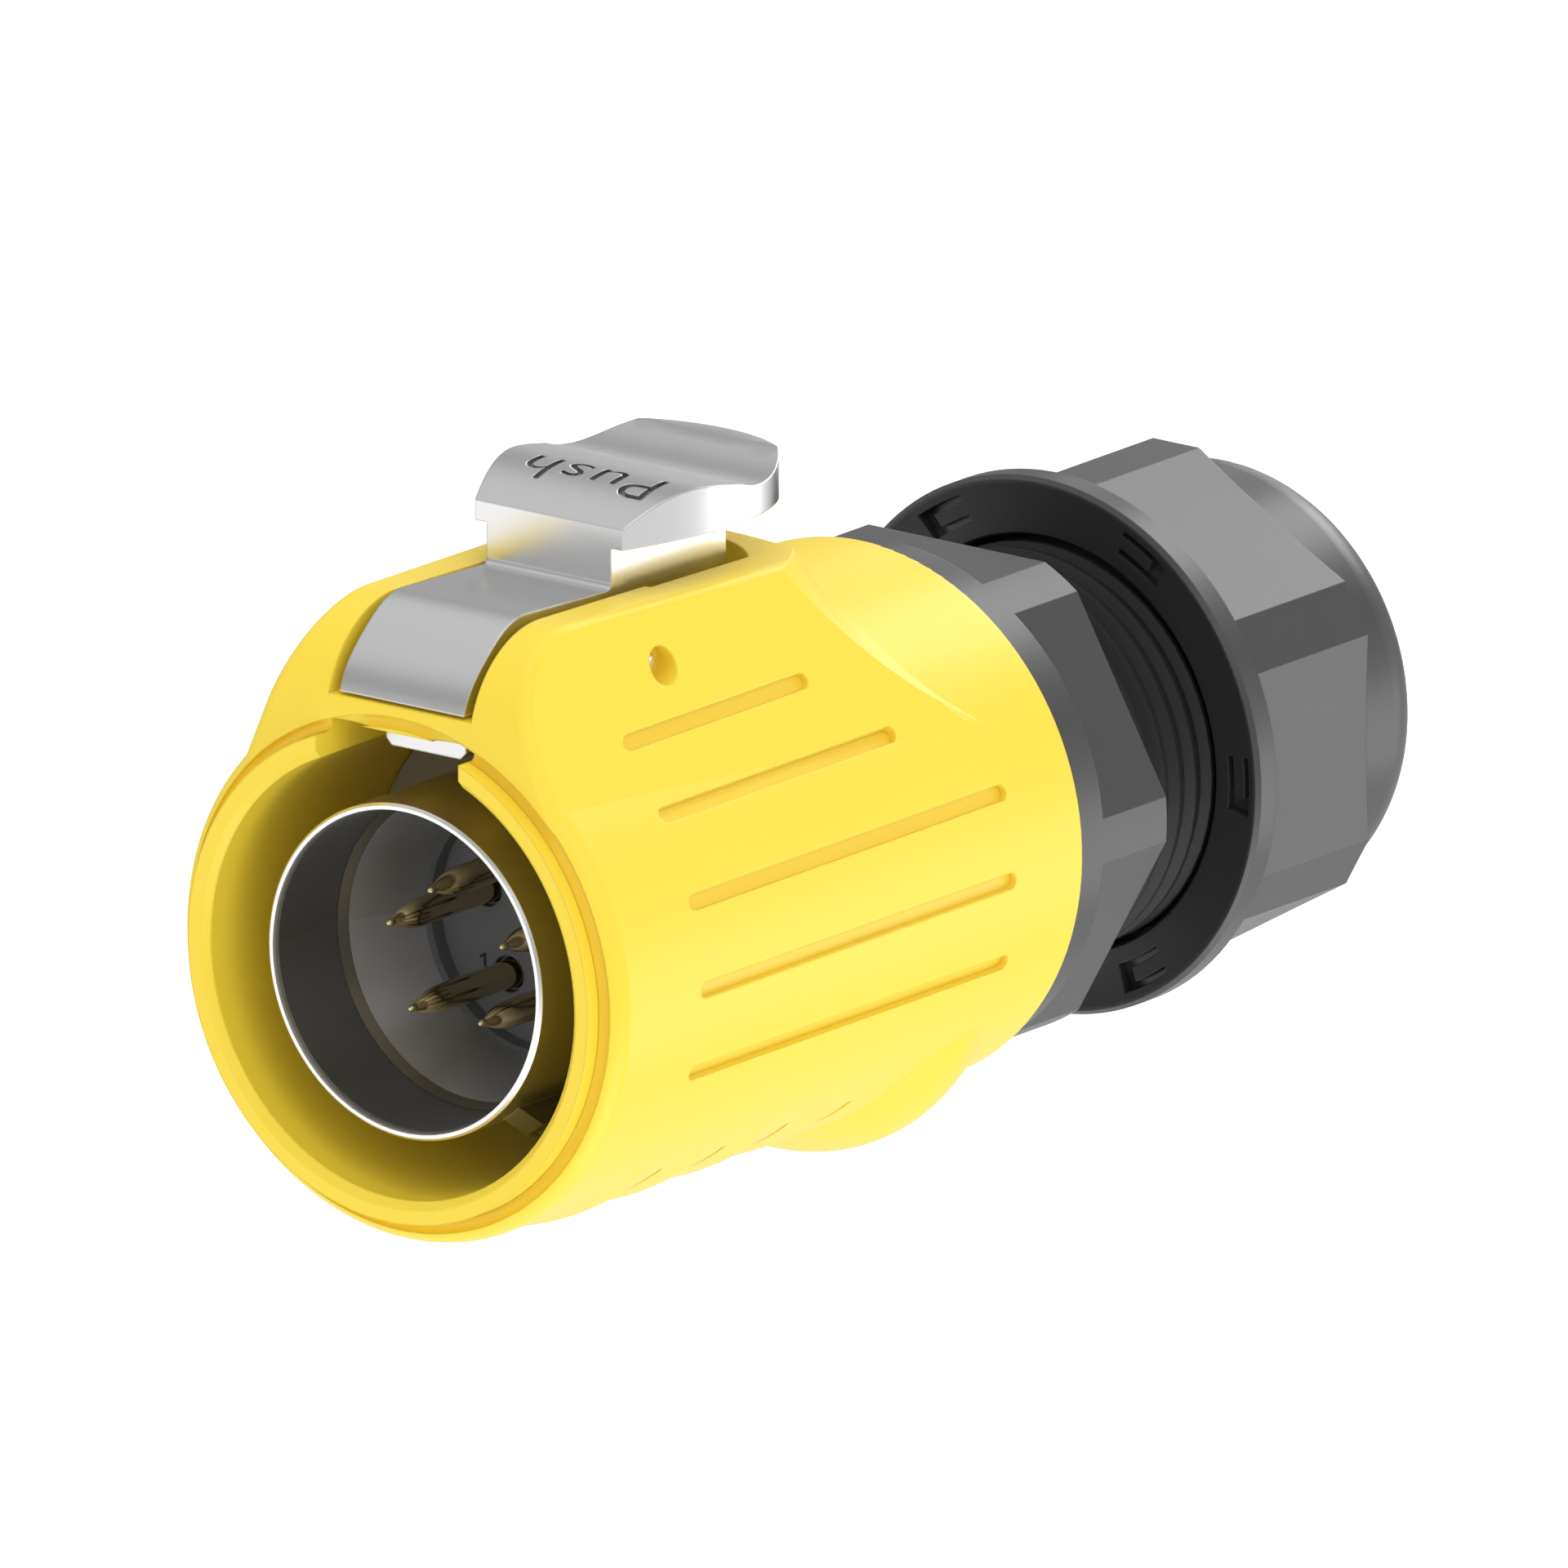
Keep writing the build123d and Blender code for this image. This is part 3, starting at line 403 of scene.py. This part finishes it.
def grain_group():
    """Moulding grain: a little noise in height and in gloss, and a soft mottle in colour."""
    name = "Moulding grain"
    if name in bpy.data.node_groups:
        return bpy.data.node_groups[name]
    group = bpy.data.node_groups.new(name, "ShaderNodeTree")
    for socket, way, kind in (
            ("Colour", "INPUT", "Color"), ("Mottle", "INPUT", "Float"), ("Roughness", "INPUT", "Float"),
            ("Gloss change", "INPUT", "Float"), ("Grain size", "INPUT", "Float"),
            ("Colour", "OUTPUT", "Color"), ("Roughness", "OUTPUT", "Float"), ("Height", "OUTPUT", "Float")):
        group.interface.new_socket(socket, in_out=way, socket_type="NodeSocket" + kind)
    enter = add_node(group, "NodeGroupInput")
    leave = add_node(group, "NodeGroupOutput")
    place = add_node(group, "ShaderNodeTexCoord")
    fine = add_node(group, "ShaderNodeTexNoise", Detail=3.0)
    broad = add_node(group, "ShaderNodeTexNoise", Scale=90.0, Detail=4.0)
    centre = add_node(group, "ShaderNodeMath", (1, 0.5), operation="SUBTRACT")
    gloss = add_node(group, "ShaderNodeMath", operation="MULTIPLY_ADD")
    shade = add_node(group, "ShaderNodeMath", (2, 1.0), operation="MULTIPLY_ADD")
    tint = add_node(group, "ShaderNodeVectorMath", operation="SCALE")
    for source, target in (
            (place.outputs["Object"], fine.inputs["Vector"]), (place.outputs["Object"], broad.inputs["Vector"]),
            (enter.outputs["Grain size"], fine.inputs["Scale"]),
            (broad.outputs["Fac"], centre.inputs[0]),
            (centre.outputs[0], gloss.inputs[0]), (enter.outputs["Gloss change"], gloss.inputs[1]),
            (enter.outputs["Roughness"], gloss.inputs[2]), (gloss.outputs[0], leave.inputs["Roughness"]),
            (centre.outputs[0], shade.inputs[0]), (enter.outputs["Mottle"], shade.inputs[1]),
            (enter.outputs["Colour"], tint.inputs[0]), (shade.outputs[0], tint.inputs["Scale"]),
            (tint.outputs[0], leave.inputs["Colour"]), (fine.outputs["Fac"], leave.inputs["Height"])):
        group.links.new(source, target)
    return group


def finish(name, colour, roughness, metallic=0.0, mottle=0.05, gloss_change=0.06, grain=2500.0,
           grain_height=0.004, edge=0.12, ior=1.45):
    """A moulded or plated finish: grain, slight mottle and softened edges. Heights and edges are in mm."""
    shader = Shader(name)
    group = shader.node("ShaderNodeGroup", node_tree=grain_group(), Colour=colour, Mottle=mottle,
                        Roughness=roughness, **{"Gloss change": gloss_change, "Grain size": grain})
    soft = shader.node("ShaderNodeBevel", samples=6, Radius=edge * MM)
    bump = shader.node("ShaderNodeBump", Strength=0.35, Distance=grain_height * MM)
    shader.join(group.outputs["Colour"], shader.surface.inputs["Base Color"])
    shader.join(group.outputs["Roughness"], shader.surface.inputs["Roughness"])
    shader.join(group.outputs["Height"], bump.inputs["Height"])
    shader.join(soft.outputs["Normal"], bump.inputs["Normal"])
    shader.join(bump.outputs["Normal"], shader.surface.inputs["Normal"])
    shader.set(Metallic=metallic, IOR=ior)
    return shader


def paint(obj, material):
    """Gives a new piece one finish."""
    obj.data.materials.clear()
    obj.data.materials.append(material)


def finish_piece(obj, material, body):
    """Gives a new piece its finish and the body it rides on."""
    paint(obj, material)
    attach(obj, body)


def dress(material, *nodes):
    """Gives CAD pieces their finish."""
    for node in nodes:
        obj = frame["nodes"][node]
        if not obj.material_slots:
            obj.data.materials.append(material)
        for slot in obj.material_slots:
            slot.material = material


# Pieces

class CONNECTOR_OT_dress_housing(bpy.types.Operator):
    """Gives the outer housing its satin yellow"""
    bl_idname = "connector.dress_housing"
    bl_label = "Dress the housing"

    def execute(self, context):
        yellow = finish("Housing yellow", context.scene.connector_colours.housing, roughness=0.36, mottle=0.03,
                        grain=3500.0, edge=0.22)
        dress(yellow.material, "outer_housing")
        return {"FINISHED"}


class CONNECTOR_OT_make_latch(bpy.types.Operator):
    """Sinks the word in the push pad, painting its letters a darker grey as painted shade, and gives the latch and
    its pin their metal
    """
    bl_idname = "connector.make_latch"
    bl_label = "Make the latch"

    def execute(self, context):
        sizes = context.scene.connector_sizes
        satin = finish("Latch metal", context.scene.connector_colours.latch, roughness=0.27, metallic=1.0,
                       gloss_change=0.02, grain=6000.0, grain_height=0.0005, edge=0.16)
        # The letters get a darker grey than the latch: painted shade in the sunk word
        sunk = finish("Sunk letters", grey(0.34), roughness=0.5, metallic=1.0, edge=0.02)
        latch = merged_copy("release_latch", "latch_skin")
        # The letters stop at a copy of the latch that is lower by their depth
        floor = merged_copy("release_latch", "word_floor")
        floor.location.z = -sizes.word_depth
        word = pad_word(sizes)
        paint(latch, satin.material)
        paint(floor, sunk.material)
        paint(word, sunk.material)
        take_away(word, floor)
        take_away(latch, word)
        smooth(latch)
        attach(latch, "latch")
        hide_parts("release_latch")
        dress(satin.material, "latch_pin")
        return {"FINISHED"}


class CONNECTOR_OT_make_spring(bpy.types.Operator):
    """Gives the latch's spring its wire"""
    bl_idname = "connector.make_spring"
    bl_label = "Make the spring"

    def execute(self, context):
        wire = finish("Spring wire", grey(0.55), roughness=0.22, metallic=1.0, edge=0.02)
        spring = merged_copy("latch_spring", "latch_spring_coils")
        paint(spring, wire.material)
        smooth(spring, 50.0)
        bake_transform(spring)
        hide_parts("latch_spring")
        dress(wire.material, "insulator_retainer")
        return {"FINISHED"}


class CONNECTOR_OT_dress_mating_end(bpy.types.Operator):
    """Gives the sleeve, the contacts and their carrier their finish, with painted light and shade on the sleeve, and
    adds the contact number
    """
    bl_idname = "connector.dress_mating_end"
    bl_label = "Dress the mating end"

    def execute(self, context):
        colours = context.scene.connector_colours
        nickel = finish("Sleeve nickel", colours.sleeve, roughness=0.32, metallic=1.0, grain=6000.0,
                        grain_height=0.001, edge=0.05)
        # Painted shade on the sleeve's rib and inner step, painted light on its rim and cone
        nickel.change_zones(SLEEVE_GLOSS_AND_PAINTED_LIGHT, colours.sleeve)
        gold = finish("Contact gold", colours.contact, roughness=0.10, metallic=1.0, grain=6000.0,
                      grain_height=0.001, edge=0.03)
        black = finish("Insulator black", colours.insulator, roughness=0.5, edge=0.04)
        ink = finish("Number ink", grey(0.006), roughness=0.6, edge=0.01)
        dress(nickel.material, "mating_sleeve", "sleeve_nut")
        dress(black.material, "contact_insulator", "rear_insulator")
        dress(gold.material, *[node for node in frame["nodes"] if node.startswith("contact_pin")])
        number = figure_one("contact_number", NUMBER_PLACE, context.scene.connector_sizes.number_size)
        finish_piece(number, ink.material, "root")
        return {"FINISHED"}


class CONNECTOR_OT_dress_rear(bpy.types.Operator):
    """Gives the rear body, the clamp, the nut and the seals their finish, with painted shade behind the hex and on
    the tail
    """
    bl_idname = "connector.dress_rear"
    bl_label = "Dress the rear pieces"

    def execute(self, context):
        colours = context.scene.connector_colours
        body = finish("Body grey", colours.body, roughness=0.36, grain=3000.0, edge=0.10, ior=1.62)
        # Painted shade in the gap behind the hex, on the nut flange's face, on the tail and in the nut's mouth
        body.change_zones(REAR_PAINTED_SHADE, colours.body)
        rubber = finish("Seal rubber", colours.rubber, roughness=0.62, edge=0.05)
        face_seal = finish("Face seal rubber", colours.face_seal, roughness=0.6, edge=0.05)
        dress(body.material, "rear_body", "tail_nut", "clamp_cage", "slip_washer")
        dress(rubber.material, "body_o_ring", "tail_o_ring", "cable_seal")
        dress(face_seal.material, "interface_seal")
        return {"FINISHED"}


class CONNECTOR_OT_cut_threads(bpy.types.Operator):
    """Adds the thread on the tail and the one in the nut"""
    bl_idname = "connector.cut_threads"
    bl_label = "Cut the threads"

    def execute(self, context):
        sizes = context.scene.connector_sizes
        body = bpy.data.materials["Body grey"]
        pitch = sizes.thread_pitch
        tail = thread_ridge("tail_thread", sizes.thread_start, sizes.tail_radius, sizes.thread_height, pitch,
                            sizes.thread_turns, TAIL_RIDGE * pitch)
        finish_piece(tail, body, "root")
        nut = thread_ridge("nut_thread", NUT_THREAD_START, NUT_THREAD_RADIUS, NUT_THREAD_HEIGHT, pitch,
                           sizes.thread_turns, NUT_RIDGE * pitch)
        finish_piece(nut, body, "nut")
        return {"FINISHED"}


# Studio

def card(tree, toward, start, full, level):
    """How bright a card in one direction makes the reflections."""
    place = add_node(tree, "ShaderNodeTexCoord")
    dot = add_node(tree, "ShaderNodeVectorMath", operation="DOT_PRODUCT")
    dot.inputs[1].default_value = Vector(toward).normalized()
    ramp = add_node(tree, "ShaderNodeMapRange", interpolation_type="SMOOTHSTEP",
                    **{"From Min": start, "From Max": full, "To Max": level})
    tree.links.new(place.outputs["Generated"], dot.inputs[0])
    tree.links.new(dot.outputs["Value"], ramp.inputs["Value"])
    return ramp.outputs["Result"]


def world_light(scene):
    """White to the camera and through glass, cards in reflections, and an even glow on the object."""
    world = bpy.data.worlds.new("Studio")
    scene.world = world
    world.use_nodes = True
    tree = world.node_tree
    tree.nodes.clear()
    path = add_node(tree, "ShaderNodeLightPath")
    light, mirror, white = [
        add_node(tree, "ShaderNodeBackground", Color=grey(1.0), Strength=level) for level in (GLOW, MIRROR, 1.0)]
    level = None
    for values in CARDS:
        total = add_node(tree, "ShaderNodeMath", (1, MIRROR), operation="ADD")
        tree.links.new(card(tree, *values), total.inputs[0])
        if level:
            tree.links.new(level, total.inputs[1])
        level = total.outputs[0]
    tree.links.new(level, mirror.inputs["Strength"])
    through = add_node(tree, "ShaderNodeMath", operation="MAXIMUM")
    tree.links.new(path.outputs["Is Camera Ray"], through.inputs[0])
    tree.links.new(path.outputs["Is Transmission Ray"], through.inputs[1])
    for mask, other in ((path.outputs["Is Glossy Ray"], mirror), (through.outputs[0], white)):
        mix = add_node(tree, "ShaderNodeMixShader")
        tree.links.new(mask, mix.inputs["Fac"])
        tree.links.new(light.outputs[0], mix.inputs[1])
        tree.links.new(other.outputs[0], mix.inputs[2])
        light = mix
    out = add_node(tree, "ShaderNodeOutputWorld")
    tree.links.new(light.outputs[0], out.inputs["Surface"])


def area_lamp(name, place, aim, width, power):
    bpy.ops.object.light_add(type="AREA", location=place)
    lamp = bpy.context.object
    lamp.name = name
    lamp.data.size = width
    lamp.data.energy = power
    lamp.rotation_euler = (aim - Vector(place)).to_track_quat("-Z", "Y").to_euler()


def lay_floor(aim, drop):
    """A pale floor well under the plug, white to the camera."""
    bpy.ops.object.select_all(action="DESELECT")
    bpy.ops.mesh.primitive_plane_add(size=FLOOR_WIDTH, location=(aim.x, aim.y, -drop))
    floor = bpy.context.object
    floor.name = "studio_floor"
    pale = Shader("Studio floor")
    pale.set(Base_Color=grey(0.85), Roughness=0.9)
    path = pale.node("ShaderNodeLightPath")
    seen = pale.node("ShaderNodeMath", (1, FLOOR_WHITE), operation="MULTIPLY")
    white = pale.node("ShaderNodeEmission")
    both = pale.node("ShaderNodeAddShader")
    pale.join(path.outputs["Is Camera Ray"], seen.inputs[0])
    pale.join(seen.outputs[0], white.inputs["Strength"])
    pale.join(pale.surface.outputs["BSDF"], both.inputs[0])
    pale.join(white.outputs["Emission"], both.inputs[1])
    pale.join(both.outputs["Shader"], pale.tree.nodes["Material Output"].inputs["Surface"])
    floor.data.materials.append(pale.material)


def photo_camera(scene, studio, aim):
    """A camera at the photograph's angle. It has no perspective, because parallel edges stay parallel there."""
    right = Vector(studio.view_right).normalized()
    up = Vector(studio.view_up)
    up = (up - up.dot(right) * right).normalized()
    back = right.cross(up)
    camera = bpy.data.cameras.new("photo camera")
    camera.type = "ORTHO"
    camera.ortho_scale = studio.field
    camera.clip_start = 0.01 * studio.distance
    camera.clip_end = 10.0 * studio.distance
    eye = bpy.data.objects.new("photo camera", camera)
    scene.collection.objects.link(eye)
    turn = Matrix((right, up, back)).transposed().to_4x4()
    eye.matrix_world = Matrix.Translation(aim + back * studio.distance) @ turn
    scene.camera = eye


class CONNECTOR_OT_set_studio(bpy.types.Operator):
    """Sets the floor, the lamps and the camera"""
    bl_idname = "connector.set_studio"
    bl_label = "Set the studio"

    def execute(self, context):
        scene = context.scene
        studio = scene.connector_studio
        aim = Vector(studio.aim)
        world_light(scene)
        lay_floor(aim, studio.floor_drop)
        for name, toward, distance, width, power in LAMPS:
            area_lamp(name, aim + Vector(toward).normalized() * distance, aim, width, power)
        photo_camera(scene, studio, aim)
        scene.view_settings.view_transform = "Standard"
        return {"FINISHED"}


class CONNECTOR_PT_panel(bpy.types.Panel):
    """Lists the connector's sizes, colours and steps"""
    bl_idname = "CONNECTOR_PT_panel"
    bl_label = "Connector"
    bl_space_type = "VIEW_3D"
    bl_region_type = "UI"
    bl_category = "Connector"

    def draw(self, context):
        layout = self.layout
        scene = context.scene
        for group in (scene.connector_colours, scene.connector_sizes, scene.connector_studio):
            for key in group.__annotations__:
                layout.prop(group, key)
        for step in STEPS:
            layout.operator("connector." + step)


STEPS = ("dress_housing", "make_latch", "make_spring", "dress_mating_end", "dress_rear", "cut_threads", "set_studio")
CLASSES = (
    ConnectorColours, ConnectorSizes, ConnectorStudio, CONNECTOR_OT_dress_housing, CONNECTOR_OT_make_latch,
    CONNECTOR_OT_make_spring, CONNECTOR_OT_dress_mating_end, CONNECTOR_OT_dress_rear, CONNECTOR_OT_cut_threads,
    CONNECTOR_OT_set_studio, CONNECTOR_PT_panel)


def register():
    for each in CLASSES:
        bpy.utils.register_class(each)
    bpy.types.Scene.connector_colours = bpy.props.PointerProperty(type=ConnectorColours)
    bpy.types.Scene.connector_sizes = bpy.props.PointerProperty(type=ConnectorSizes)
    bpy.types.Scene.connector_studio = bpy.props.PointerProperty(type=ConnectorStudio)


def unregister():
    del bpy.types.Scene.connector_colours
    del bpy.types.Scene.connector_sizes
    del bpy.types.Scene.connector_studio
    for each in reversed(CLASSES):
        bpy.utils.unregister_class(each)


def main():
    register()
    for step in STEPS:
        getattr(bpy.ops.connector, step)()


if __name__ == "__main__":
    main()
